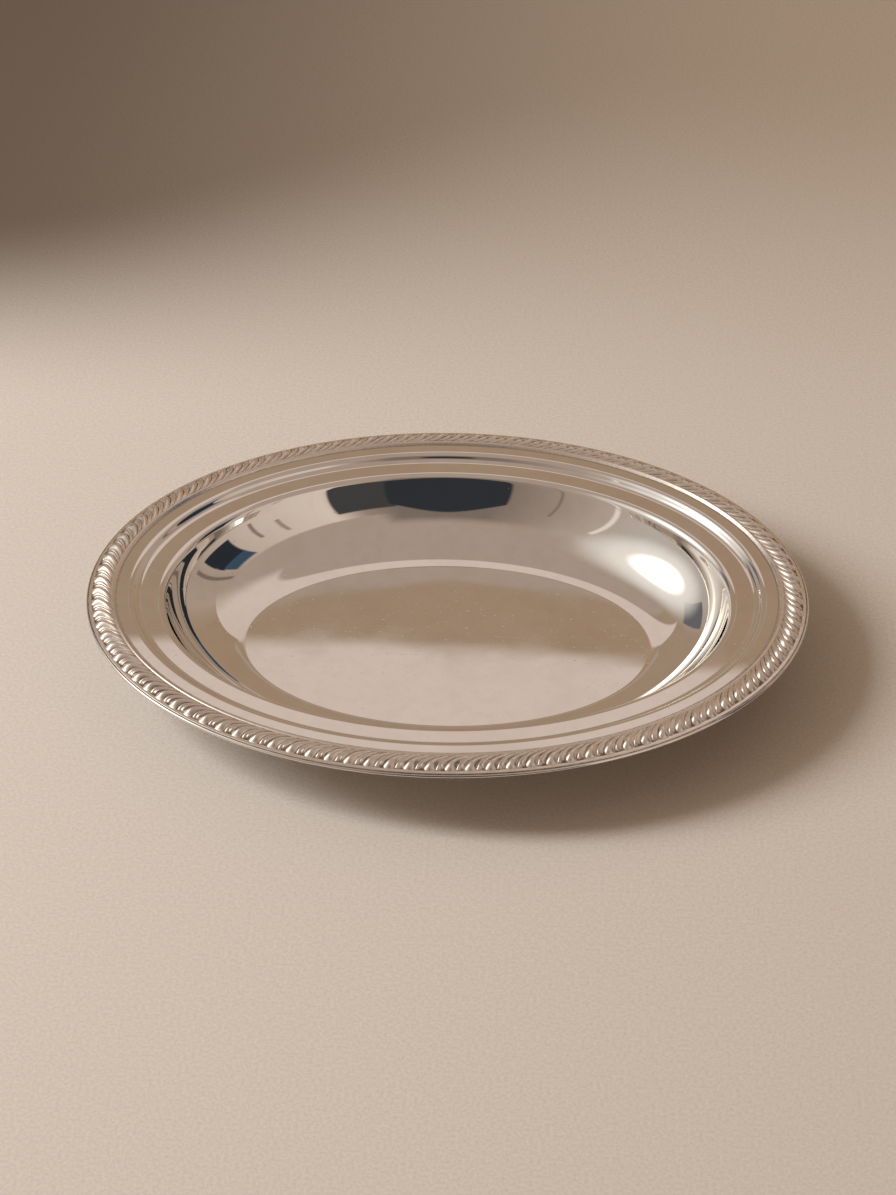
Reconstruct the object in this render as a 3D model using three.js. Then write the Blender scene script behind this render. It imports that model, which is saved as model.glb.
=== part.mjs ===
// Oval serving dish in silver plate: a pressed dish with a stepped flange, an edge wire soldered
// round its rim, and a gadrooned border of four struck mounts backed with soft solder.
// Millimetres, +Z up, X along the dish. The origin is under the middle of the well, on the
// surface that the dish stands on.
import * as THREE from "three";

// Overall size, over the edge wire
const LENGTH = 290;
const WIDTH = 232;

// Pressed dish. Widths are plan widths, taken from the border inwards.
const SHEET = 1.2;
const OUTER_BAND = 5;
const STEP_RUN = 4.9;
const STEP_DROP = 2.65;
const INNER_BAND = 7;
const SHOULDER_RADIUS = 3.2;
const WALL_SLOPE = THREE.MathUtils.degToRad(72);
const WELL_DEPTH = 24.5;

// Edge wire, a flat wire with a round nose that laps under the flange
const WIRE_HEIGHT = 1.3;
const WIRE_LAP = 1.8;
const WIRE_NOSE = 0.65;

// Gadrooned mounts. They lap over the edge of the flange and stand on the edge wire.
const QUARTERS = ["back_right", "back_left", "front_left", "front_right"];
const LOBES_PER_QUARTER = 26;
const MOUNT_INSET = 0.6;
const LEDGE_EDGE = 0.3;
const LEDGE_RISE = 0.2;
const LEDGE_WIDTH = 1.4;
const LOBE_LENGTH = 8;
const LOBE_SWELL = 1.65;
const GROOVE_DEPTH = 0.9;
const LOBE_SWEEP = 0.95;
const TAIL_HEIGHT = 0.9;
const THREAD_WIDTH = 1.8;
const THREAD_HEIGHT = 1.25;

// Solder that fills the hollow back of each mount
const MOUNT_WALL = 0.4;
const FLANGE_COVER = 0.25;
const SOLDER_FILM = 0.1;
const BUTT_GAP = 0.3;

// Fineness of the facets
const STATIONS = 72;
const FILL_STATIONS = 32;
const ARC_POINTS = 3;
const WALL_POINTS = 6;
const WIRE_POINTS = 6;

// Levels: the sheet's upper face, the top of the edge wire, and the ends of the lobes
const FLOOR_LEVEL = SHEET;
const INNER_LEVEL = FLOOR_LEVEL + WELL_DEPTH;
const FLANGE_LEVEL = INNER_LEVEL + STEP_DROP;
const WIRE_LEVEL = FLANGE_LEVEL - SHEET;
const HEAD_LEVEL = WIRE_LEVEL + LEDGE_EDGE + LEDGE_RISE;
const TAIL_LEVEL = FLANGE_LEVEL + TAIL_HEIGHT;

// Insets from the overall oval
const HEAD = MOUNT_INSET + LEDGE_WIDTH;
const TAIL = HEAD + LOBE_LENGTH;
const MOUNT_INNER = TAIL + THREAD_WIDTH;

// The overall oval, and points on it and inside it

const oval = new THREE.EllipseCurve(0, 0, LENGTH / 2, WIDTH / 2);
oval.arcLengthDivisions = 2000;

// Angle parameter of the oval after a share of its length, which may pass a full turn.
function angleAt(share) {
  const turns = Math.floor(share);
  return 2 * Math.PI * (turns + oval.getUtoTmapping(share - turns));
}

function place(angle, inset, z) {
  const x = (LENGTH / 2 - inset) * Math.cos(angle);
  const y = (WIDTH / 2 - inset) * Math.sin(angle);
  return new THREE.Vector3(x, y, z);
}

// Closed skins over rows of points

class Skin {
  positions = [];

  triangle(a, b, c) {
    for (const p of [a, b, c]) this.positions.push(p.x, p.y, p.z);
  }

  // Joins two rows of as many points.
  strip(row, next, closed) {
    const last = closed ? row.length : row.length - 1;
    for (let i = 0; i < last; i++) {
      const j = (i + 1) % row.length;
      this.triangle(row[i], next[i], next[j]);
      this.triangle(row[i], next[j], row[j]);
    }
  }

  // Closes a flat ring with a fan about its middle.
  fan(ring, middle) {
    ring.forEach((p, i) => this.triangle(middle, p, ring[(i + 1) % ring.length]));
  }

  // Closes the end of a row of sections. The outline is the section in (inset, z).
  cap(section, outline, turned) {
    for (const [a, b, c] of THREE.ShapeUtils.triangulateShape(outline, [])) {
      this.triangle(section[a], section[turned ? c : b], section[turned ? b : c]);
    }
  }

  geometry() {
    const made = new THREE.BufferGeometry();
    made.setAttribute("position", new THREE.Float32BufferAttribute(this.positions, 3));
    made.computeVertexNormals();
    return made;
  }
}

// A bar that follows the oval from one share of its length to another, with capped ends.
// sectionAt(i) gives the (inset, z) outline of station i, and shiftAt(inset) slides it along.
function bar(shares, sectionAt, shiftAt) {
  const outlines = shares.map((share, i) => sectionAt(i));
  const rows = shares.map((share, i) =>
    outlines[i].map((p) => place(angleAt(share + shiftAt(p.x)), p.x, p.y)),
  );
  const skin = new Skin();
  for (let i = 0; i + 1 < rows.length; i++) skin.strip(rows[i], rows[i + 1], true);
  skin.cap(rows[0], outlines[0], true);
  skin.cap(rows.at(-1), outlines.at(-1), false);
  return skin.geometry();
}

// A ring of one (inset, z) line all the way round the oval, as one row for each point.
function rings(line) {
  const angles = Array.from({ length: STATIONS }, (_, k) => (2 * Math.PI * k) / STATIONS);
  return line.map((p) => angles.map((angle) => place(angle, p.x, p.y)));
}

// Pressed dish

// Upper face of the sheet in (inset, z), from the edge of the flange to the edge of the well floor.
function dishLine() {
  const line = [new THREE.Vector2(flangeInset(), FLANGE_LEVEL)];
  let at = new THREE.Vector2(MOUNT_INNER + OUTER_BAND, FLANGE_LEVEL);
  line.push(at);

  // Turns by an angle at a radius. side -1 bends down over a shoulder, side 1 bends back to level.
  function bend(radius, turn, side, count) {
    for (let i = 1; i <= count; i++) {
      const done = side < 0 ? (turn * i) / count : turn * (1 - i / count);
      const along = side < 0 ? Math.sin(done) : Math.sin(turn) - Math.sin(done);
      const down = side < 0 ? 1 - Math.cos(done) : Math.cos(done) - Math.cos(turn);
      line.push(new THREE.Vector2(at.x + radius * along, at.y - radius * down));
    }
    at = line.at(-1);
  }

  const stepTurn = 2 * Math.atan(STEP_DROP / STEP_RUN);
  const stepRadius = STEP_RUN / (2 * Math.sin(stepTurn));
  bend(stepRadius, stepTurn, -1, ARC_POINTS);
  bend(stepRadius, stepTurn, 1, ARC_POINTS);

  at = new THREE.Vector2(at.x + INNER_BAND, at.y);
  line.push(at);
  const wallRadius = WELL_DEPTH / (1 - Math.cos(WALL_SLOPE)) - SHOULDER_RADIUS;
  bend(SHOULDER_RADIUS, WALL_SLOPE, -1, ARC_POINTS);
  bend(wallRadius, WALL_SLOPE, 1, WALL_POINTS);
  return line;
}

// The line moved square to itself through the thickness of the sheet.
function underside(line) {
  return line.map((p, i) => {
    const before = p.clone().sub(line[Math.max(i - 1, 0)]).normalize();
    const after = line[Math.min(i + 1, line.length - 1)].clone().sub(p).normalize();
    if (i === 0 || i === line.length - 1) return new THREE.Vector2(p.x, p.y - SHEET);
    const along = before.clone().add(after).normalize();
    const reach = SHEET / along.dot(after);
    return new THREE.Vector2(p.x + along.y * reach, p.y - along.x * reach);
  });
}

function dishGeometry() {
  const upper = dishLine();
  const lower = underside(upper);
  const rows = rings([...upper.toReversed(), ...lower]);
  const skin = new Skin();
  for (let i = 0; i + 1 < rows.length; i++) skin.strip(rows[i], rows[i + 1], true);
  skin.fan(rows[0], new THREE.Vector3(0, 0, FLOOR_LEVEL));
  skin.fan(rows.at(-1).toReversed(), new THREE.Vector3(0, 0, 0));
  return skin.geometry();
}

// Edge wire

function wireGeometry() {
  const half = WIRE_HEIGHT / 2;
  const outline = [];
  for (let i = 0; i <= WIRE_POINTS; i++) {
    const angle = Math.PI * (i / WIRE_POINTS - 0.5);
    const inset = WIRE_NOSE * (1 - Math.cos(angle));
    outline.push(new THREE.Vector2(inset, WIRE_LEVEL - half + half * Math.sin(angle)));
  }
  const inner = flangeInset() + WIRE_LAP;
  outline.push(new THREE.Vector2(inner, WIRE_LEVEL));
  outline.push(new THREE.Vector2(inner, WIRE_LEVEL - WIRE_HEIGHT));
  const rows = rings(outline);
  const skin = new Skin();
  rows.forEach((row, i) => skin.strip(rows[(i + 1) % rows.length], row, true));
  return skin.geometry();
}

// Gadrooned mounts and the solder behind them

// One lobe along the border: a deep groove, the main lobe, a shallow valley and a narrow reed.
const LOBE_STATIONS = [
  { phase: 0, relief: 0 },
  { phase: 0.3, relief: 1 },
  { phase: 0.6, relief: 0.2 },
  { phase: 0.8, relief: 0.7 },
];

// Where lobes and the hollow behind them are drawn, as shares from the head to the tail
const LOBE_LINE = [0, 0.14, 0.4, 0.7, 1];
const HOLLOW_LINE = [0.25, 0.7];

// Level along a lobe from its head to its tail. Relief goes from 0 in a groove to 1 on a crest.
function lobeLevel(share, relief) {
  const swell = (LOBE_SWELL - GROOVE_DEPTH * (1 - relief)) * Math.sin(Math.PI * share);
  return THREE.MathUtils.lerp(HEAD_LEVEL, TAIL_LEVEL, share) + swell;
}

// How far a lobe has swept along the oval, as a share of the oval's length.
function sweepAt(inset) {
  const share = THREE.MathUtils.clamp((inset - HEAD) / LOBE_LENGTH, 0, 1);
  return (LOBE_SWEEP * share ** 2) / (LOBES_PER_QUARTER * QUARTERS.length);
}

// Roof of the hollow under a mount, less a film where the solder stops short of it.
function hollowLine(film) {
  const roof = HOLLOW_LINE.map((share) => {
    const level = lobeLevel(share, 0) - MOUNT_WALL - film;
    return new THREE.Vector2(HEAD + LOBE_LENGTH * share, level);
  });
  const outer = new THREE.Vector2(HEAD + 2 * film, WIRE_LEVEL);
  const inner = new THREE.Vector2(TAIL - film, FLANGE_LEVEL);
  return [outer, ...roof, inner];
}

// Edge of the flange, which reaches out under the mounts as far as the hollow covers it
function flangeInset() {
  const [, low, high] = hollowLine(0);
  const rise = FLANGE_LEVEL + FLANGE_COVER - low.y;
  return low.x + ((high.x - low.x) * rise) / (high.y - low.y);
}

// Section of a mount across the border
function mountSection(relief) {
  const lobe = LOBE_LINE.map((share) => {
    return new THREE.Vector2(HEAD + LOBE_LENGTH * share, lobeLevel(share, relief));
  });
  return [
    new THREE.Vector2(MOUNT_INSET, WIRE_LEVEL),
    new THREE.Vector2(MOUNT_INSET, WIRE_LEVEL + LEDGE_EDGE),
    ...lobe,
    new THREE.Vector2(TAIL + THREAD_WIDTH / 2, FLANGE_LEVEL + THREAD_HEIGHT),
    new THREE.Vector2(MOUNT_INNER, FLANGE_LEVEL),
    ...hollowLine(0).toReversed(),
  ];
}

// Section of a fill: under the roof of the hollow, and round the edge of the flange
function fillSection() {
  const edge = flangeInset() - SOLDER_FILM;
  return [
    ...hollowLine(SOLDER_FILM),
    new THREE.Vector2(edge, FLANGE_LEVEL),
    new THREE.Vector2(edge, WIRE_LEVEL),
  ];
}

// Shares of the oval's length where one quarter's stations lie, less half a gap at either end.
function sharesOf(quarter, phases) {
  const gap = BUTT_GAP / oval.getLength();
  const ends = [quarter / QUARTERS.length + gap / 2, (quarter + 1) / QUARTERS.length - gap / 2];
  return phases.map((phase) => THREE.MathUtils.lerp(ends[0], ends[1], phase));
}

function mountGeometry(quarter) {
  const stations = [];
  for (let lobe = 0; lobe < LOBES_PER_QUARTER; lobe++) {
    for (const { phase, relief } of LOBE_STATIONS) stations.push({ phase: lobe + phase, relief });
  }
  stations.push({ phase: LOBES_PER_QUARTER, relief: 0 });
  const shares = sharesOf(quarter, stations.map((s) => s.phase / LOBES_PER_QUARTER));
  return bar(shares, (i) => mountSection(stations[i].relief), sweepAt);
}

function fillGeometry(quarter) {
  const phases = Array.from({ length: FILL_STATIONS + 1 }, (_, i) => i / FILL_STATIONS);
  const outline = fillSection();
  return bar(sharesOf(quarter, phases), () => outline, sweepAt);
}

// Assembly

const plate = new THREE.MeshStandardMaterial({ color: 0xd9d2c8, metalness: 1, roughness: 0.12 });
const struck = new THREE.MeshStandardMaterial({ color: 0xd2c8bc, metalness: 1, roughness: 0.22 });
const solder = new THREE.MeshStandardMaterial({ color: 0x9a9a98, metalness: 1, roughness: 0.5 });

const dish = new THREE.Group();

function add(name, geometry, material) {
  const mesh = new THREE.Mesh(geometry, material);
  mesh.name = name;
  dish.add(mesh);
}

add("dish_body", dishGeometry(), plate);
add("edge_wire", wireGeometry(), plate);
QUARTERS.forEach((side, quarter) => {
  add(`gadroon_mount_${side}`, mountGeometry(quarter), struck);
  add(`solder_fill_${side}`, fillGeometry(quarter), solder);
});

export default dish;
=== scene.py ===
import math

import bmesh
import bpy
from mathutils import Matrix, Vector


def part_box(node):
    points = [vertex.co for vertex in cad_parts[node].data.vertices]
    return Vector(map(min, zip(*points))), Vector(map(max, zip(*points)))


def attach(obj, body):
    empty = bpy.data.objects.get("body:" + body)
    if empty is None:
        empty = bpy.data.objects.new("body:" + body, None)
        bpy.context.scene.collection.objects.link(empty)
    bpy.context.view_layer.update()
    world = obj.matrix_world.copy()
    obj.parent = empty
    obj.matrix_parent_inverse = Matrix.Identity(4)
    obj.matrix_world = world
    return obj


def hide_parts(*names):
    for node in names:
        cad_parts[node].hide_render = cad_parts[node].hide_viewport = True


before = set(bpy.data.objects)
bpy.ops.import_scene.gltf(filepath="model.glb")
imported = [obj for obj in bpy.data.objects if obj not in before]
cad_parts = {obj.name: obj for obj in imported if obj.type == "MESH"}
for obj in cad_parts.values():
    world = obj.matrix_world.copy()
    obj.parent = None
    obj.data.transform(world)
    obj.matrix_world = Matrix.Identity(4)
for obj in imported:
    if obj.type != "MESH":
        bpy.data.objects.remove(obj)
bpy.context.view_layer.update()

# Oval silver-plated serving dish, in metres, with X along it, Z up and the camera on the -Y side
MM = 0.001

# Sizes that the frame gives
wire_low, wire_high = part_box("edge_wire")
_, dish_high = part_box("dish_body")
HALF_LENGTH = wire_high.x
HALF_WIDTH = wire_high.y
FLANGE_LEVEL = dish_high.z
FLANGE_EDGE = HALF_LENGTH - dish_high.x
WIRE_TOP = wire_high.z
WIRE_BOTTOM = wire_low.z
SHEET = FLANGE_LEVEL - WIRE_TOP

# Pressed dish. Widths run from the border inwards, smoothing angles are in degrees.
BORDER_WIDTH = 11.8 * MM
SEAM_WIDTH = 0.5 * MM
OUTER_BAND = 5.0 * MM
STEP_RUN = 4.9 * MM
STEP_DROP = 2.65 * MM
STEP_SLOPE = math.radians(52)
INNER_BAND = 7.0 * MM
SHOULDER_RADIUS = 3.2 * MM
WALL_SLOPE = math.radians(72)
WELL_DEPTH = FLANGE_LEVEL - STEP_DROP - SHEET
RING_POINTS = 192
FLOOR_SHARES = (0.08, 0.4, 0.75, 0.93, 0.99)
BAND_SUPPORT = 0.35 * MM
STEP_TURNS = 8
SHOULDER_TURNS = 10
WALL_TURNS = 24
PLATE_SMOOTH = 35
# Strength of the dark seam by the thread: dirt and painted shade of the joint
SEAM_SHADE = 0.5

# Edge wire
WIRE_NOSE = 0.65 * MM
WIRE_LAP = 1.8 * MM
WIRE_BEVEL = 1.5
NOSE_TURNS = 10
# How far below its top the wire carries the dark seam of dirt and painted shade
WIRE_SEAM = 0.02 * MM

# Gadroon border. Shares run along a lobe from head to tail, phases run along one repeat.
QUARTERS = ("front_left", "front_right", "back_right", "back_left")
LOBES_PER_QUARTER = 26
BORDER_LINE = 6.0 * MM
LOBE_HEAD = 2.0 * MM
LOBE_LENGTH = 8.0 * MM
LOBE_FLANK = 1.6
LOBE_ROUND = 0.85
HEAD_ROUND = 0.18
HEAD_TAPER = 0.8
LOBE_SWEEP = 0.95
SWEEP_CURVE = 2.6
SHELL_WALL = 0.35 * MM
BUTT_GAP = 0.04 * MM
LOBE_WELD = 0.002 * MM
PATH_STEPS = 64
BORDER_SMOOTH = 70
# Thread bead at the inner side and ledge at the outer, as (inset, height over the flange) in mm
THREAD = (
    (11.82, -0.12), (11.45, 0.3), (11.08, 0.66), (10.75, 0.98),
    (10.42, 1.1), (10.15, 0.9), (9.9, 0.68),
)
LEDGE = ((1.62, -0.76), (1.3, -0.79), (1.02, -0.88), (0.95, -1.2))
# Lobes from tail to head, as (share, crest over the flange, depth of the grooves), both in mm
LOBE_LINE = (
    (0.96, 0.86, 0.18),
    (0.9, 1.08, 0.4),
    (0.8, 1.34, 0.72),
    (0.68, 1.56, 1.05),
    (0.55, 1.7, 1.42),
    (0.42, 1.68, 1.56),
    (0.3, 1.36, 1.5),
    (0.2, 0.88, 1.33),
    (0.12, 0.34, 0.98),
    (0.05, -0.22, 0.48),
    (0.0, -0.7, 0.0),
)
# Two reeds and the broad lobe, as (start, crest, end, height, share at the head's start)
FLUTES = (
    (0, 0.105, 0.21, 0.66, 0.08),
    (0.21, 0.315, 0.42, 0.55, 0.14),
    (0.42, 0.71, 1.0, 1.0, 0),
)
# Heights of the valleys between them, by phase
VALLEYS = {0: 0.1, 0.21: 0.3, 0.42: 0, 1.0: 0.1}
LOBE_PHASES = (
    0, 0.0525, 0.105, 0.1575, 0.21, 0.2625, 0.315, 0.3675, 0.42,
    0.46, 0.53, 0.62, 0.71, 0.8, 0.89, 0.96, 1.0,
)
# Tarnish of the border, with painted shade of the joints at its feet: where it lies across the
# border, and how dark it is from 0 to 1
BORDER_FEET = (1.0 * MM, 11.6 * MM)
CAVETTO = (9.5 * MM, 10.0 * MM)
CAVETTO_SHADE = 0.45
LEDGE_FOOT = (1.2 * MM, 2.1 * MM)
LEDGE_SHADE = 0.2
TAIL_START = 0.4
TAIL_RUN = 0.3
TAIL_SHADE = 0.14
GROOVE_CLEAR = 1.8


# Hand moves that the pieces share

def deselect():
    if bpy.context.object and bpy.context.object.mode != "OBJECT":
        bpy.ops.object.mode_set(mode="OBJECT")
    bpy.ops.object.select_all(action="DESELECT")


def name_piece(name):
    piece = bpy.context.object
    piece.name = name
    piece.data.name = name
    return piece


def pick(points):
    """Selects these points, by number, of the piece that is being edited."""
    form = bmesh.from_edit_mesh(bpy.context.object.data)
    form.verts.ensure_lookup_table()
    bpy.ops.mesh.select_all(action="DESELECT")
    for point in points:
        form.verts[point].select_set(True)
    form.select_flush(True)
    bmesh.update_edit_mesh(bpy.context.object.data)


def move(points, shift):
    pick(points)
    bpy.ops.transform.translate(value=shift)


def apply_modifier(piece, kind, **settings):
    modifier = piece.modifiers.new(kind.title(), kind)
    for key, value in settings.items():
        setattr(modifier, key, value)
    bpy.context.view_layer.objects.active = piece
    bpy.ops.object.modifier_apply(modifier=modifier.name)


def smooth(piece, degrees):
    deselect()
    piece.select_set(True)
    bpy.context.view_layer.objects.active = piece
    bpy.ops.object.shade_smooth_by_angle(angle=math.radians(degrees))


def hand_in(piece, node, material):
    """Puts a finished piece in the place of its CAD node."""
    piece.data.materials.clear()
    piece.data.materials.append(material)
    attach(piece, "root")
    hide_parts(node)


# Rings of the oval

def oval(inset, level):
    """A ring as its two half widths and its level."""
    return (HALF_LENGTH - inset, HALF_WIDTH - inset, level)


def spin_up(rings):
    """Draws a skin out of one circle, from ring to ring, and leaves the last ring selected."""
    deselect()
    across, deep, level = rings[0]
    bpy.ops.mesh.primitive_circle_add(vertices=RING_POINTS, radius=1, location=(0, 0, level))
    bpy.ops.transform.resize(value=(across, deep, 1), center_override=(0, 0, level))
    bpy.ops.object.transform_apply(location=True, rotation=True, scale=True)
    bpy.ops.object.mode_set(mode="EDIT")
    bpy.ops.mesh.select_mode(type="EDGE")
    bpy.ops.mesh.select_all(action="SELECT")
    for before, after in zip(rings, rings[1:]):
        rise = (0, 0, after[2] - before[2])
        spread = (after[0] / before[0], after[1] / before[1], 1)
        bpy.ops.mesh.extrude_edges_move(TRANSFORM_OT_translate={"value": rise})
        bpy.ops.transform.resize(value=spread, center_override=(0, 0, after[2]))


def mark_rings(piece, name, shares):
    """Keeps one value for each ring of points, for the piece's material."""
    layer = piece.data.attributes.new(name, "FLOAT", "POINT")
    layer.data.foreach_set("value", [share for share in shares for _ in range(RING_POINTS)])


# Pressed dish

def dish_line():
    """Upper face of the sheet as (inset, level, slope), from the flange's edge to the floor."""
    level = FLANGE_LEVEL
    at = BORDER_WIDTH + OUTER_BAND
    line = [(FLANGE_EDGE, level, 0)]
    line += [(BORDER_WIDTH + SEAM_WIDTH, level, 0), (BORDER_WIDTH + 1.5 * SEAM_WIDTH, level, 0)]
    line += [(at - BAND_SUPPORT, level, 0), (at, level, 0)]

    def bend(radius, turn, over, turns):
        """Goes on from the line's end, over a shoulder or back to level."""
        inset, height, _ = line[-1]
        for i in range(1, turns + 1):
            slope = turn * i / turns if over else turn * (1 - i / turns)
            along = math.sin(slope) if over else math.sin(turn) - math.sin(slope)
            down = 1 - math.cos(slope) if over else math.cos(slope) - math.cos(turn)
            line.append((inset + radius * along, height - radius * down, slope))

    along, down = math.cos(STEP_SLOPE), math.sin(STEP_SLOPE)
    straight = STEP_DROP * down / (1 - along) - STEP_RUN
    step_radius = (STEP_RUN - straight * along) / (2 * down)
    bend(step_radius, STEP_SLOPE, True, STEP_TURNS)
    at, level, _ = line[-1]
    line.append((at + straight * along, level - straight * down, STEP_SLOPE))
    bend(step_radius, STEP_SLOPE, False, STEP_TURNS)
    at, level, _ = line[-1]
    for along in (BAND_SUPPORT, INNER_BAND - BAND_SUPPORT, INNER_BAND):
        line.append((at + along, level, 0))
    wall_radius = WELL_DEPTH / (1 - math.cos(WALL_SLOPE)) - SHOULDER_RADIUS
    bend(SHOULDER_RADIUS, WALL_SLOPE, True, SHOULDER_TURNS)
    bend(wall_radius, WALL_SLOPE, False, WALL_TURNS)
    return line


def make_dish(material):
    line = dish_line()
    upper = [oval(inset, level) for inset, level, _ in line]
    lower = [
        oval(inset - SHEET * math.sin(slope), level - SHEET * math.cos(slope))
        for inset, level, slope in line
    ]
    across, deep, _ = upper[-1]
    floor = [(across * share, deep * share, SHEET) for share in FLOOR_SHARES]
    base = [(across * share, deep * share, 0) for share in reversed(FLOOR_SHARES)]
    rings = floor + upper[::-1] + lower + base
    spin_up(rings)
    bpy.ops.mesh.edge_face_add()
    bpy.ops.mesh.select_all(action="DESELECT")
    bpy.ops.mesh.select_non_manifold()
    bpy.ops.mesh.edge_face_add()
    bpy.ops.mesh.select_all(action="SELECT")
    bpy.ops.mesh.normals_make_consistent(inside=False)
    deselect()
    dish = name_piece("pressed_dish")
    # The flange under the border and just inside its thread carries the dark seam: dirt and painted
    # shade of the joint
    seam = [SEAM_SHADE * (inset <= BORDER_WIDTH + SEAM_WIDTH) for inset, _, _ in line]
    mark_rings(dish, "seam", [0.0] * len(floor) + seam[::-1] + seam + [0.0] * len(base))
    smooth(dish, PLATE_SMOOTH)
    hand_in(dish, "dish_body", material)


# Edge wire

def make_wire(material):
    half = (WIRE_TOP - WIRE_BOTTOM) / 2
    rings = []
    for i in range(NOSE_TURNS + 1):
        turn = math.pi * (i / NOSE_TURNS - 0.5)
        out, rise = max(0, math.cos(turn)), math.sin(turn)
        if rise > 0:
            out, rise = out ** WIRE_BEVEL, rise ** WIRE_BEVEL
        rings.append(oval(WIRE_NOSE * (1 - out), WIRE_BOTTOM + half + half * rise))
    inner = FLANGE_EDGE + WIRE_LAP
    rings += [oval(inner, WIRE_TOP), oval(inner, WIRE_BOTTOM)]
    spin_up(rings)
    bpy.ops.mesh.select_all(action="DESELECT")
    bpy.ops.mesh.select_non_manifold()
    bpy.ops.mesh.bridge_edge_loops()
    bpy.ops.mesh.select_all(action="SELECT")
    bpy.ops.mesh.normals_make_consistent(inside=False)
    deselect()
    wire = name_piece("rim_wire")
    # The wire's top, where the mount sits, carries the dark seam: dirt and painted shade of the
    # joint
    mark_rings(wire, "seam", [float(WIRE_TOP - level < WIRE_SEAM) for _, _, level in rings])
    smooth(wire, PLATE_SMOOTH)
    hand_in(wire, "edge_wire", material)


# Gadroon border

def relief(phase, share):
    """How far the border stands out of its deepest groove, across the reeds and the lobe."""
    flute = next(flute for flute in FLUTES if phase <= flute[2])
    start, middle, end, height, late = flute
    side = start if phase < middle else end
    foot, reach = VALLEYS[side], abs(middle - side)
    short = min(1, max(0, 1 - (share - late) / HEAD_ROUND))
    off = min(1, abs(phase - middle) / (reach * math.sqrt(1 - HEAD_TAPER * short * short)))
    risen = math.sqrt(1 - short * short) if late else 1
    return risen * (foot + (height - foot) * (1 - off ** LOBE_FLANK) ** LOBE_ROUND)


def border_path():
    """Oval line that the border is bent along, counter-clockwise from the left end of the dish."""
    deselect()
    bpy.ops.curve.primitive_bezier_circle_add(radius=1)
    path = name_piece("border_path")
    path.scale = (HALF_LENGTH - BORDER_LINE, HALF_WIDTH - BORDER_LINE, 1)
    bpy.ops.object.transform_apply(location=False, rotation=False, scale=True)
    path.data.resolution_u = PATH_STEPS
    bpy.ops.object.mode_set(mode="EDIT")
    bpy.ops.curve.select_all(action="SELECT")
    bpy.ops.curve.switch_direction()
    bpy.ops.curve.radius_set(radius=1)
    bpy.ops.object.mode_set(mode="OBJECT")
    return path


def border_rows():
    """Rows of the border from thread to ledge, as (inset, height, share, depth of the grooves)."""
    rows = [(inset * MM, height * MM, 1.0, 0.0) for inset, height in THREAD]
    for share, crest, depth in LOBE_LINE:
        rows.append((LOBE_HEAD + LOBE_LENGTH * share, (crest - depth) * MM, share, depth * MM))
    rows += [(inset * MM, height * MM, 0.0, 0.0) for inset, height in LEDGE]
    return rows


def make_lobe(pitch):
    """One lobe of the border as a flat strip along X, with its inner side towards +Y."""
    rows = border_rows()
    columns = len(LOBE_PHASES)
    deselect()
    bpy.ops.mesh.primitive_grid_add(
        x_subdivisions=columns - 1, y_subdivisions=len(rows) - 1, size=1,
    )
    lobe = name_piece("lobe")
    bpy.ops.object.mode_set(mode="EDIT")
    bpy.ops.mesh.select_mode(type="VERT")
    for column, phase in enumerate(LOBE_PHASES):
        line = range(column, columns * len(rows), columns)
        move(line, (phase * pitch - (column / (columns - 1) - 0.5), 0, 0))
    for row, (inset, height, share, depth) in enumerate(rows):
        line = range(row * columns, (row + 1) * columns)
        sweep = LOBE_SWEEP * pitch * share ** SWEEP_CURVE
        rest = row / (len(rows) - 1) - 0.5
        move(line, (sweep, inset - BORDER_LINE - rest, FLANGE_LEVEL + height))
        for column, phase in enumerate(LOBE_PHASES if depth else ()):
            rise = depth * relief(phase, share)
            if rise > 0:
                move([row * columns + column], (0, 0, rise))
    bpy.ops.mesh.select_all(action="SELECT")
    bpy.ops.mesh.normals_make_consistent(inside=False)
    deselect()
    mark_tarnish_and_shade(lobe, rows)
    return lobe


def mark_tarnish_and_shade(lobe, rows):
    """Keeps how dark each point is for the border's material: tarnish deep between the lobes, in
    the cavetto, on the ledge and along the tails, and painted shade of the joints at the mount's
    feet.
    """
    depths = []
    for inset, _, share, depth in rows:
        # The mount's feet, where it meets the flange and the wire, carry painted shade of the joint
        foot = inset < BORDER_FEET[0] or inset > BORDER_FEET[1]
        cavetto = CAVETTO_SHADE * (CAVETTO[0] < inset < CAVETTO[1])
        ledge = LEDGE_SHADE * (LEDGE_FOOT[0] < inset < LEDGE_FOOT[1])
        tail = TAIL_SHADE * min(1, max(0, (share - TAIL_START) / TAIL_RUN)) if depth else 0
        for phase in LOBE_PHASES:
            deep = max(0, 1 - GROOVE_CLEAR * relief(phase, share)) if depth else 0
            depths.append(min(1, max(deep, foot, cavetto, ledge) + tail))
    layer = lobe.data.attributes.new("tarnish_and_shade", "FLOAT", "POINT")
    layer.data.foreach_set("value", depths)


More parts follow.
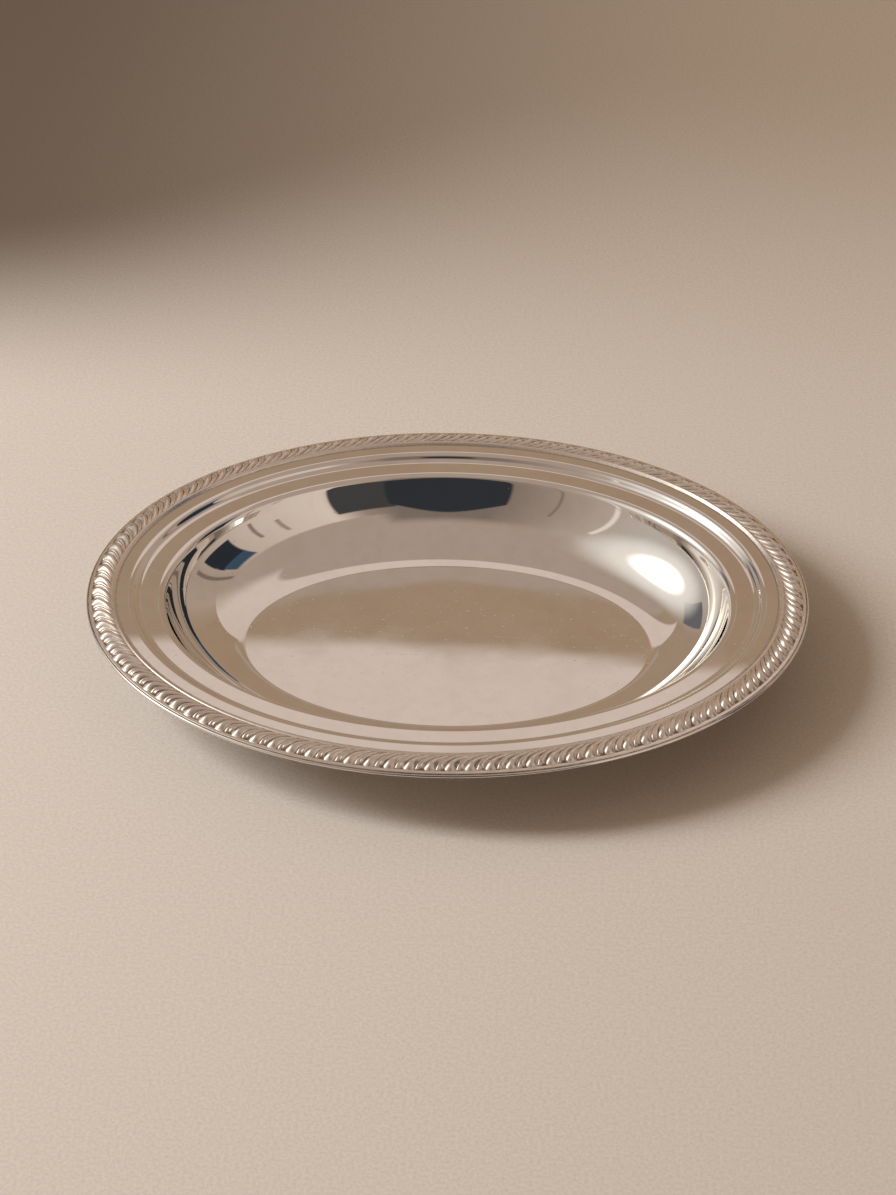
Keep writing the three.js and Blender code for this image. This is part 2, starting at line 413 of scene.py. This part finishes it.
def make_border(material):
    path = border_path()
    length = path.data.splines[0].calc_length() / len(QUARTERS)
    pitch = (length - BUTT_GAP) / LOBES_PER_QUARTER
    lobe = make_lobe(pitch)
    apply_modifier(
        lobe, "ARRAY", count=LOBES_PER_QUARTER, use_relative_offset=False, use_constant_offset=True,
        constant_offset_displace=(pitch, 0, 0), use_merge_vertices=True, merge_threshold=LOBE_WELD,
    )
    for number, quarter in enumerate(QUARTERS):
        deselect()
        lobe.select_set(True)
        bpy.context.view_layer.objects.active = lobe
        bpy.ops.object.duplicate()
        border = name_piece(f"gadroon_{quarter}")
        bpy.ops.transform.translate(value=(number * length + BUTT_GAP / 2, 0, 0))
        bpy.ops.object.transform_apply(location=True, rotation=False, scale=False)
        apply_modifier(border, "SUBSURF", levels=1, render_levels=1)
        apply_modifier(border, "SOLIDIFY", thickness=SHELL_WALL, offset=-1)
        apply_modifier(border, "CURVE", object=path, deform_axis="POS_X")
        smooth(border, BORDER_SMOOTH)
        hand_in(border, f"gadroon_mount_{quarter}", material)
    bpy.data.objects.remove(lobe)
    bpy.data.objects.remove(path)


# Materials

class Nodes:
    """Short ways to add and join the nodes of a material or of the world."""

    def __init__(self, tree):
        self.tree = tree

    def node(self, kind, settings=None, **inputs):
        made = self.tree.nodes.new(kind)
        for key, value in (settings or {}).items():
            setattr(made, key, value)
        for key, value in inputs.items():
            self.feed(made.inputs[key.replace("_", " ")], value)
        return made

    def feed(self, socket, value):
        if isinstance(value, bpy.types.NodeSocket):
            self.tree.links.new(value, socket)
        else:
            socket.default_value = value

    def spots(self, scale, detail=2.0, stretch=(1, 1, 1), turn=(0, 0, 0), rough=0.5):
        """Cloudy noise in the piece's own place, which may be drawn out into lines."""
        place = self.node("ShaderNodeTexCoord").outputs["Object"]
        mapped = self.node("ShaderNodeMapping", Vector=place, Scale=stretch, Rotation=turn)
        noise = self.node(
            "ShaderNodeTexNoise", Vector=mapped.outputs[0], Scale=scale, Detail=detail,
            Roughness=rough,
        )
        return noise.outputs["Fac"]

    def range(self, value, low, high, to_low, to_high):
        made = self.node("ShaderNodeMapRange", {"interpolation_type": "SMOOTHSTEP"}, Value=value)
        limits = {"From Min": low, "From Max": high, "To Min": to_low, "To Max": to_high}
        for key, number in limits.items():
            made.inputs[key].default_value = number
        return made.outputs[0]

    def clouds(self, marks, rough=0.5):
        """Cloudy noise brought into a range."""
        scale, detail, *limits = marks
        return self.range(self.spots(scale, detail, rough=rough), *limits)

    def math(self, operation, first, second):
        made = self.node("ShaderNodeMath", {"operation": operation})
        self.feed(made.inputs[0], first)
        self.feed(made.inputs[1], second)
        return made.outputs[0]

    def blend(self, share, first, second):
        made = self.node("ShaderNodeMix", {"data_type": "RGBA"})
        self.feed(made.inputs["Factor"], share)
        self.feed(made.inputs[6], first)
        self.feed(made.inputs[7], second)
        return made.outputs[2]

    def layers(self, value, stops):
        """Colours one above the other, at these values."""
        made = self.node("ShaderNodeValToRGB", Fac=value)
        ramp = made.color_ramp
        while len(ramp.elements) < len(stops):
            ramp.elements.new(1.0)
        for element, (position, colour) in zip(ramp.elements, stops):
            element.position = position
            element.color = colour
        return made.outputs[0]

    def dents(self, height, distance, under=None):
        made = self.node("ShaderNodeBump", Height=height, Distance=distance, Strength=1.0)
        if under:
            self.feed(made.inputs["Normal"], under)
        return made.outputs[0]


class Finish(Nodes):
    """A node material around one Principled shader."""

    def __init__(self, name):
        self.material = bpy.data.materials.new(name)
        self.material.use_nodes = True
        super().__init__(self.material.node_tree)
        self.shader = self.tree.nodes["Principled BSDF"]

    def give(self, socket, value):
        self.feed(self.shader.inputs[socket], value)


SILVER = (0.88, 0.85, 0.81, 1)
DULL_SILVER = (0.82, 0.78, 0.73, 1)
FILM = (0.80, 0.745, 0.685, 1)
STRUCK_SILVER = (0.89, 0.815, 0.745, 1)
# Tarnish of the border, also painted as shade of the joints at its feet
TARNISH_AND_SHADE = (0.27, 0.19, 0.135, 1)
# Dark seam along the joints with the border: dirt and painted shade of the joint
SEAM_DIRT_AND_SHADE = (0.17, 0.12, 0.085, 1)
SOLDER_LIGHT = (0.42, 0.42, 0.42, 1)
SOLDER_DARK = (0.26, 0.25, 0.24, 1)

# Marks on the plate, as (noise scale, detail, low, high, value at low, value at high)
PLATE_SPECKS = (520, 2, 0.66, 0.78, 0, 1)
PLATE_FILM = (28, 4, 0.42, 0.75, 0, 0.7)
FILM_BREAKUP = 0.65
PLATE_MOTTLE = (170, 3, 0.4, 0.7, 0, 0.35)
PLATE_WEAR = (45, 5, 0.4, 0.7, 0.014, 0.038)
PLATE_PITS = (700, 1, 0.72, 0.80, 1, 0)
PIT_DEPTH = 0.005 * MM
WAVE_SCALE = 16
WAVE_DEPTH = 0.06 * MM
SEAM_PATCHES = (420, 2, 0.35, 0.6, 0.75, 1)
SEAM_ROUGHNESS = 0.25

# Hairlines on the plate
HAIRLINE_TURNS = (0.4, 1.9, 1.15)
HAIRLINE_STRETCH = (22, 1900, 40)
HAIRLINE_LIMITS = (0.70, 0.78, 0, 1)
HAIRLINE_ROUGHNESS = 0.02
HAIRLINE_DEPTH = -0.0001 * MM

# Marks on the struck border, whose fine lines run along the tails of the lobes
STRUCK_PATCHES = (260, 3, 0.3, 0.7, 0.6, 1.1)
STRUCK_WEAR = (500, 3, 0.3, 0.7, 0.2, 0.27)
DIRT_AND_SHADE_LIMITS = (0.25, 0.95, 0, 1)
DIRT_ROUGHNESS = 0.2
REED_LINES = 9
LINES_START = (0.24, 0.34, 0, 1)
LINES_END = (0.42, 0.58, 1, 0)
LINE_SHADE = -0.04
LINE_DEPTH = 0.012 * MM
STRUCK_GRAIN = 700
GRAIN_DEPTH = 0.03 * MM

# Solder
SOLDER_CLOUDS = 300
SOLDER_LIMITS = (0.3, 0.7)
SOLDER_ROUGHNESS = (0.35, 0.6)
SOLDER_DENTS = 0.1 * MM


def scratches(finish, turn):
    """Sparse hairlines along one direction."""
    lines = finish.spots(scale=1.0, detail=1.0, stretch=HAIRLINE_STRETCH, turn=(0, 0, turn))
    return finish.range(lines, *HAIRLINE_LIMITS)


def plate_finish():
    finish = Finish("polished silver plate")
    film = finish.clouds(PLATE_FILM, FILM_BREAKUP)
    film = finish.math("MAXIMUM", film, finish.clouds(PLATE_MOTTLE))
    colour = finish.blend(film, SILVER, FILM)
    colour = finish.blend(finish.clouds(PLATE_SPECKS), colour, DULL_SILVER)
    # Dark seam at the joints with the border: dirt and painted shade of the joint
    seam = finish.node("ShaderNodeAttribute", {"attribute_name": "seam"}).outputs["Fac"]
    dirt_and_shade = finish.math("MULTIPLY", seam, finish.clouds(SEAM_PATCHES))
    finish.give("Base Color", finish.blend(dirt_and_shade, colour, SEAM_DIRT_AND_SHADE))
    finish.give("Metallic", 1)
    hairlines, *others = [scratches(finish, turn) for turn in HAIRLINE_TURNS]
    for lines in others:
        hairlines = finish.math("MAXIMUM", hairlines, lines)
    worn = finish.clouds(PLATE_WEAR)
    worn = finish.math("ADD", worn, finish.math("MULTIPLY", hairlines, HAIRLINE_ROUGHNESS))
    worn = finish.math("ADD", worn, finish.math("MULTIPLY", dirt_and_shade, SEAM_ROUGHNESS))
    finish.give("Roughness", worn)
    waves = finish.dents(finish.spots(scale=WAVE_SCALE, detail=1), WAVE_DEPTH)
    normal = finish.dents(finish.clouds(PLATE_PITS), PIT_DEPTH, waves)
    finish.give("Normal", finish.dents(hairlines, HAIRLINE_DEPTH, normal))
    return finish.material


def struck_finish():
    finish = Finish("struck silver")
    depth = finish.node("ShaderNodeAttribute", {"attribute_name": "tarnish_and_shade"}).outputs["Fac"]
    patches = finish.clouds(STRUCK_PATCHES)
    dirt_and_shade = finish.range(finish.math("MULTIPLY", depth, patches), *DIRT_AND_SHADE_LIMITS)
    chart = finish.node("ShaderNodeUVMap").outputs["UV"]
    parts = finish.node("ShaderNodeSeparateXYZ", Vector=chart)
    along, outward = parts.outputs["X"], parts.outputs["Y"]
    wave = finish.math("SINE", finish.math("MULTIPLY", along, 2 * math.pi * REED_LINES), 0)
    tails = finish.math(
        "MULTIPLY", finish.range(outward, *LINES_START), finish.range(outward, *LINES_END),
    )
    lines = finish.math("MULTIPLY", wave, tails)
    dirt_and_shade = finish.math("ADD", dirt_and_shade, finish.math("MULTIPLY", lines, LINE_SHADE))
    # Tarnish, with painted shade of the joints at the mount's feet
    finish.give("Base Color", finish.blend(dirt_and_shade, STRUCK_SILVER, TARNISH_AND_SHADE))
    finish.give("Metallic", 1)
    worn = finish.clouds(STRUCK_WEAR)
    worn = finish.math("ADD", worn, finish.math("MULTIPLY", dirt_and_shade, DIRT_ROUGHNESS))
    finish.give("Roughness", worn)
    grain = finish.dents(finish.spots(scale=STRUCK_GRAIN, detail=2), GRAIN_DEPTH)
    finish.give("Normal", finish.dents(lines, LINE_DEPTH, grain))
    return finish.material


def solder_finish():
    finish = Finish("soft solder")
    clouds = finish.spots(scale=SOLDER_CLOUDS, detail=4)
    shade = finish.range(clouds, *SOLDER_LIMITS, 0, 1)
    finish.give("Base Color", finish.blend(shade, SOLDER_LIGHT, SOLDER_DARK))
    finish.give("Metallic", 1)
    finish.give("Roughness", finish.range(clouds, *SOLDER_LIMITS, *SOLDER_ROUGHNESS))
    finish.give("Normal", finish.dents(clouds, SOLDER_DENTS))
    return finish.material


# Floor, light and camera

FLOOR_REACH = 6.0
FLOOR_TONE = (0.60, 0.542, 0.493, 1)
# Painted shade towards the back of the floor, darkest at the left
FAR_LEFT_PAINTED_SHADE = (0.118, 0.088, 0.064, 1)
FAR_RIGHT_PAINTED_SHADE = (0.42, 0.34, 0.272, 1)
FAR_SPREAD = 0.3
# Painted shade: depths at which the floor starts to darken and where it is darkest, at the left and
# at the right
FAR_SIDES = (-0.26, 0.12)
FAR_STARTS = (0.168, 0.14)
FAR_ENDS = (0.34, 0.53)
FLOOR_GRAIN = 750
GRAIN_LIMITS = (0.25, 0.75, 0.93, 1.07)
FLOOR_ROUGHNESS = 0.9
FLOOR_DENTS = 0.1 * MM


def make_floor():
    finish = Finish("pale paper floor")
    place = finish.node("ShaderNodeTexCoord").outputs["Object"]
    parts = finish.node("ShaderNodeSeparateXYZ", Vector=place)
    across, deep = parts.outputs["X"], parts.outputs["Y"]
    # Painted shade: the floor darkens towards the back, most at the left
    side = finish.range(across, -FAR_SPREAD, FAR_SPREAD, 0, 1)
    painted_far_shade = finish.blend(side, FAR_LEFT_PAINTED_SHADE, FAR_RIGHT_PAINTED_SHADE)
    starts = finish.range(across, *FAR_SIDES, *FAR_STARTS)
    ends = finish.range(across, *FAR_SIDES, *FAR_ENDS)
    reach = finish.math("SUBTRACT", deep, starts)
    reach = finish.math("DIVIDE", reach, finish.math("SUBTRACT", ends, starts))
    tone = finish.blend(finish.range(reach, 0, 1, 0, 1), FLOOR_TONE, painted_far_shade)
    grain = finish.spots(scale=FLOOR_GRAIN, detail=3)
    shade = finish.node("ShaderNodeHueSaturation", Color=tone)
    finish.feed(shade.inputs["Value"], finish.range(grain, *GRAIN_LIMITS))
    finish.give("Base Color", shade.outputs["Color"])
    finish.give("Roughness", FLOOR_ROUGHNESS)
    finish.give("Normal", finish.dents(grain, FLOOR_DENTS))
    deselect()
    bpy.ops.mesh.primitive_plane_add(size=2 * FLOOR_REACH)
    floor = name_piece("floor")
    floor.data.materials.append(finish.material)


# Room round the dish, as (degrees round from the camera's side, colour) from left to right
WALL_SHADES = (
    (-180, (0.37, 0.265, 0.185, 1)),
    (-145, (0.37, 0.275, 0.20, 1)),
    (-125, (0.47, 0.42, 0.385, 1)),
    (-70, (0.52, 0.465, 0.425, 1)),
    (-48, (0.45, 0.37, 0.315, 1)),
    (-30, (0.33, 0.26, 0.215, 1)),
    (-14, (0.21, 0.165, 0.14, 1)),
    (16, (0.21, 0.165, 0.14, 1)),
    (27, (0.33, 0.26, 0.215, 1)),
    (38, (0.70, 0.59, 0.51, 1)),
    (72, (0.58, 0.48, 0.41, 1)),
    (108, (0.39, 0.305, 0.245, 1)),
    (132, (0.43, 0.33, 0.26, 1)),
    (150, (0.37, 0.26, 0.18, 1)),
)
# Where the far wall starts, in degrees round, and the ceiling, in degrees round and by height
FAR_WALL = (120, 150)
CEILING = (0.41, 0.325, 0.27, 1)
CEILING_SIDE = (18, 26)
CEILING_EDGE = (0.705, 0.735)
CEILING_FULL = (0.80, 0.92)

# Lit part of the far wall, which sinks at the left, rises at the right and has a tilted head
LIT_WALL = (0.67, 0.56, 0.50, 1)
LIT_FOOT = 0.606
FOOT_BLUR = 0.002
LIT_LEFT = (-0.13, -0.07)
LIT_SINK = 0.004
LIT_RIGHT = (-0.03, 0.05)
LIT_RISE = 0.004
LIT_HEAD = 0.785
TOP_BLUR = 0.01
LIT_TILT = 0.38

# Strip along the foot of the far wall, bowed, with its limits by height and across
STRIP_HEAD = 0.5911
STRIP_BLUR = 0.0008
STRIP_BOW = 1.7
STRIP_MIDDLE = -0.035
STRIP_FOOT = (0.574, 0.578)
STRIP_LEFT = (-0.1, -0.085)
STRIP_RIGHT = (0.036, 0.05)

# Studio cards, as (degrees round, half width, foot, head, drop of the head's corners, colour)
CARDS = (
    (26, 10, -0.1, 0.60, 0.0, (0.055, 0.055, 0.055, 1)),
    (0, 18, -0.1, 0.75, 0.22, (0.03, 0.034, 0.04, 1)),
    (91.5, 10, 0.17, 0.56, 0.0, (0.022, 0.027, 0.034, 1)),
    (91, 9.5, 0.54, 0.685, 0.0, (0.045, 0.078, 0.118, 1)),
    (-131, 9, 0.24, 0.54, 0.0, (0.14, 0.138, 0.15, 1)),
    (57, 1.0, 0.30, 0.60, 0.0, (0.34, 0.26, 0.21, 1)),
    (68.5, 1.0, 0.12, 0.52, 0.0, (0.26, 0.20, 0.16, 1)),
    (109.5, 1.6, 0.17, 0.70, 0.0, (0.2, 0.15, 0.12, 1)),
    (-33, 0.4, 0.05, 0.62, 0.0, (0.2, 0.155, 0.13, 1)),
    (-53, 1.0, 0.04, 0.70, 0.0, (0.80, 0.72, 0.65, 1)),
)
CARD_BLUR = 0.012
HEAD_BLUR = 0.02
ROOM_TINT = (1.0, 0.92, 0.79, 1)
WINDOW_GLOW = (0.92, 0.87, 0.815, 1)
WINDOW_CORE = (2.6, 2.48, 2.32, 1)
WINDOW_WAY = Vector((-0.771, 0.095, 0.629)).normalized()
GLOW_LIMITS = (0.82, 0.98)
CORE_LIMITS = (0.955, 0.998)


def make_world():
    world = bpy.data.worlds.new("warm room")
    bpy.context.scene.world = world
    world.use_nodes = True
    room = Nodes(world.node_tree)
    way = room.node("ShaderNodeTexCoord").outputs["Generated"]
    parts = room.node("ShaderNodeSeparateXYZ", Vector=way)
    across, deep, up = (parts.outputs[axis] for axis in "XYZ")
    turn = room.math("ARCTAN2", across, room.math("MULTIPLY", deep, -1))
    share = room.math("ADD", room.math("DIVIDE", turn, 2 * math.pi), 0.5)
    shades = [((degrees + 180) / 360, colour) for degrees, colour in WALL_SHADES]
    colours = room.layers(share, shades)
    wide = room.math("ABSOLUTE", turn, 0)
    behind = room.range(wide, *(math.radians(degrees) for degrees in FAR_WALL), 0, 1)
    over = room.math("ADD", up, room.range(across, *LIT_LEFT, LIT_SINK, 0))
    over = room.math("SUBTRACT", over, room.range(across, *LIT_RIGHT, 0, LIT_RISE))
    lit = room.range(over, LIT_FOOT - FOOT_BLUR, LIT_FOOT + FOOT_BLUR, 0, 1)
    lit = room.math("MULTIPLY", behind, lit)
    tilted = room.math("SUBTRACT", up, room.math("MULTIPLY", across, LIT_TILT))
    below = room.range(tilted, LIT_HEAD - TOP_BLUR, LIT_HEAD + TOP_BLUR, 1, 0)
    lit = room.math("MULTIPLY", lit, below)
    edge = room.range(turn, *(math.radians(degrees) for degrees in CEILING_SIDE), 0, 1)
    edge = room.math("MAXIMUM", behind, edge)
    over_wall = room.math("MULTIPLY", edge, room.range(up, *CEILING_EDGE, 0, 1))
    over_wall = room.math("MAXIMUM", over_wall, room.range(up, *CEILING_FULL, 0, 1))
    colours = room.blend(over_wall, colours, CEILING)
    bow = room.math("POWER", room.math("SUBTRACT", across, STRIP_MIDDLE), 2)
    sunk = room.math("SUBTRACT", up, room.math("MULTIPLY", bow, STRIP_BOW))
    strip = room.range(sunk, STRIP_HEAD - STRIP_BLUR, STRIP_HEAD + STRIP_BLUR, 1, 0)
    strip = room.math("MULTIPLY", strip, room.range(up, *STRIP_FOOT, 0, 1))
    strip = room.math("MULTIPLY", strip, room.range(across, *STRIP_LEFT, 0, 1))
    strip = room.math("MULTIPLY", strip, room.range(across, *STRIP_RIGHT, 1, 0))
    colours = room.blend(room.math("MULTIPLY", strip, behind), colours, CEILING)
    colours = room.blend(lit, colours, LIT_WALL)
    for degrees, half, low, high, drop, colour in CARDS:
        off = room.math("ABSOLUTE", room.math("SUBTRACT", turn, math.radians(degrees)), 0)
        half = math.radians(half)
        card = room.range(off, half - CARD_BLUR, half + CARD_BLUR, 1, 0)
        card = room.math("MULTIPLY", card, room.range(up, low - CARD_BLUR, low + CARD_BLUR, 0, 1))
        aside = room.math("POWER", room.math("DIVIDE", off, half), 2)
        head = room.math("ADD", up, room.math("MULTIPLY", aside, drop))
        below = room.range(head, high - HEAD_BLUR, high + HEAD_BLUR, 1, 0)
        card = room.math("MULTIPLY", card, below)
        colours = room.blend(card, colours, colour)
    toward = room.node("ShaderNodeVectorMath", {"operation": "DOT_PRODUCT"})
    room.feed(toward.inputs[0], way)
    toward.inputs[1].default_value = WINDOW_WAY
    near = toward.outputs["Value"]
    seen = room.blend(room.range(near, *GLOW_LIMITS, 0, 1), colours, WINDOW_GLOW)
    seen = room.blend(room.range(near, *CORE_LIMITS, 0, 1), seen, WINDOW_CORE)
    warm = room.node("ShaderNodeMix", {"data_type": "RGBA", "blend_type": "MULTIPLY"})
    room.feed(warm.inputs["Factor"], 1.0)
    room.feed(warm.inputs[6], seen)
    room.feed(warm.inputs[7], ROOM_TINT)
    mirrored = room.node("ShaderNodeLightPath").outputs["Is Glossy Ray"]
    background = world.node_tree.nodes["Background"]
    room.feed(background.inputs["Color"], room.blend(mirrored, warm.outputs[2], seen))


WINDOW_LIGHT = (0.96, 0.99, 1.0)
WINDOW_PLACE = Vector((-1.535, 0, 1.12))
WINDOW_AIM = Vector((0, 0, 0.02))
WINDOW_SIZE = (0.4, 0.95)
WINDOW_POWER = 33.4


def make_window():
    lamp = bpy.data.lights.new("window light", "AREA")
    lamp.shape = "RECTANGLE"
    lamp.size, lamp.size_y = WINDOW_SIZE
    lamp.energy = WINDOW_POWER
    lamp.color = WINDOW_LIGHT
    window = bpy.data.objects.new("window light", lamp)
    bpy.context.scene.collection.objects.link(window)
    window.location = WINDOW_PLACE
    window.rotation_euler = (WINDOW_AIM - WINDOW_PLACE).to_track_quat("-Z", "Y").to_euler()
    window.visible_camera = False
    window.visible_glossy = False


# Photograph: its size in pixels, the focal length in pixels, and where the dish's middle lies in it
PHOTO_WIDTH = 896
PHOTO_HEIGHT = 1195
FOCAL_PIXELS = 3250
MIDDLE_PIXEL = (447.0, 592.6)
CAMERA_DISTANCE = 1.3068
CAMERA_RISE = math.radians(36.4)
CAMERA_YAW = math.radians(2.2)
AIM_LEVEL = 26.8 * MM


def make_camera():
    data = bpy.data.cameras.new("camera")
    camera = bpy.data.objects.new("camera", data)
    bpy.context.scene.collection.objects.link(camera)
    flat = CAMERA_DISTANCE * math.cos(CAMERA_RISE)
    camera.location = (
        flat * math.sin(CAMERA_YAW),
        -flat * math.cos(CAMERA_YAW),
        AIM_LEVEL + CAMERA_DISTANCE * math.sin(CAMERA_RISE),
    )
    camera.rotation_euler = (math.pi / 2 - CAMERA_RISE, 0, CAMERA_YAW)
    data.lens = data.sensor_width * FOCAL_PIXELS / PHOTO_HEIGHT
    data.shift_x = (PHOTO_WIDTH / 2 - MIDDLE_PIXEL[0]) / PHOTO_HEIGHT
    data.shift_y = (MIDDLE_PIXEL[1] - PHOTO_HEIGHT / 2) / PHOTO_HEIGHT
    bpy.context.scene.camera = camera


plate = plate_finish()
make_dish(plate)
make_wire(plate)
make_border(struck_finish())
solder = solder_finish()
for name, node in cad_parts.items():
    if name.startswith("solder_fill"):
        node.data.materials.clear()
        node.data.materials.append(solder)

make_floor()
make_world()
make_window()
make_camera()
bpy.context.scene.view_settings.view_transform = "Standard"
